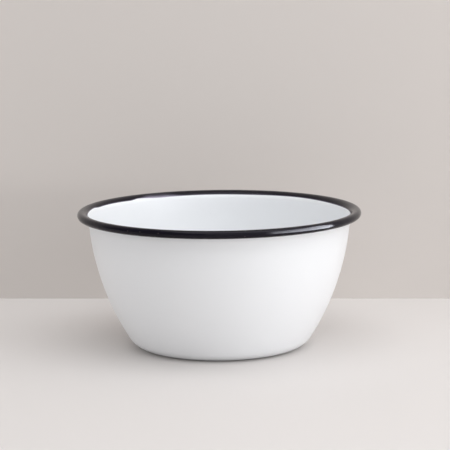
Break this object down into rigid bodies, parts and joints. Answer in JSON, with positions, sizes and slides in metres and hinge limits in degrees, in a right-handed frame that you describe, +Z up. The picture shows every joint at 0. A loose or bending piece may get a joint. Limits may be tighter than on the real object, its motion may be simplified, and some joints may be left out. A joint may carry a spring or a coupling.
{
  "type": "enamel basin bowl",
  "caption": "Round enamelled steel bowl with a curved wall, flat foot ring, glossy white coat and dark rolled rim, for mixing, serving or washing.",
  "frame": {"origin": "on the table, under the middle of the bowl", "axes": "+Z up along the bowl's axis; X and Y are alike, because the bowl is round"},
  "size_m": [0.2, 0.2, 0.0972],
  "materials": {
    "steel": "satin",
    "ground_enamel": "gloss",
    "white_enamel": "gloss",
    "rim_enamel": "gloss"
  },
  "bodies": {
    "root": {"steel_shell": "steel", "ground_coat_inside": "ground_enamel", "ground_coat_outside": "ground_enamel", "white_coat_inside": "white_enamel", "white_coat_outside": "white_enamel", "rim_coat": "rim_enamel"}
  },
  "joints": []
}
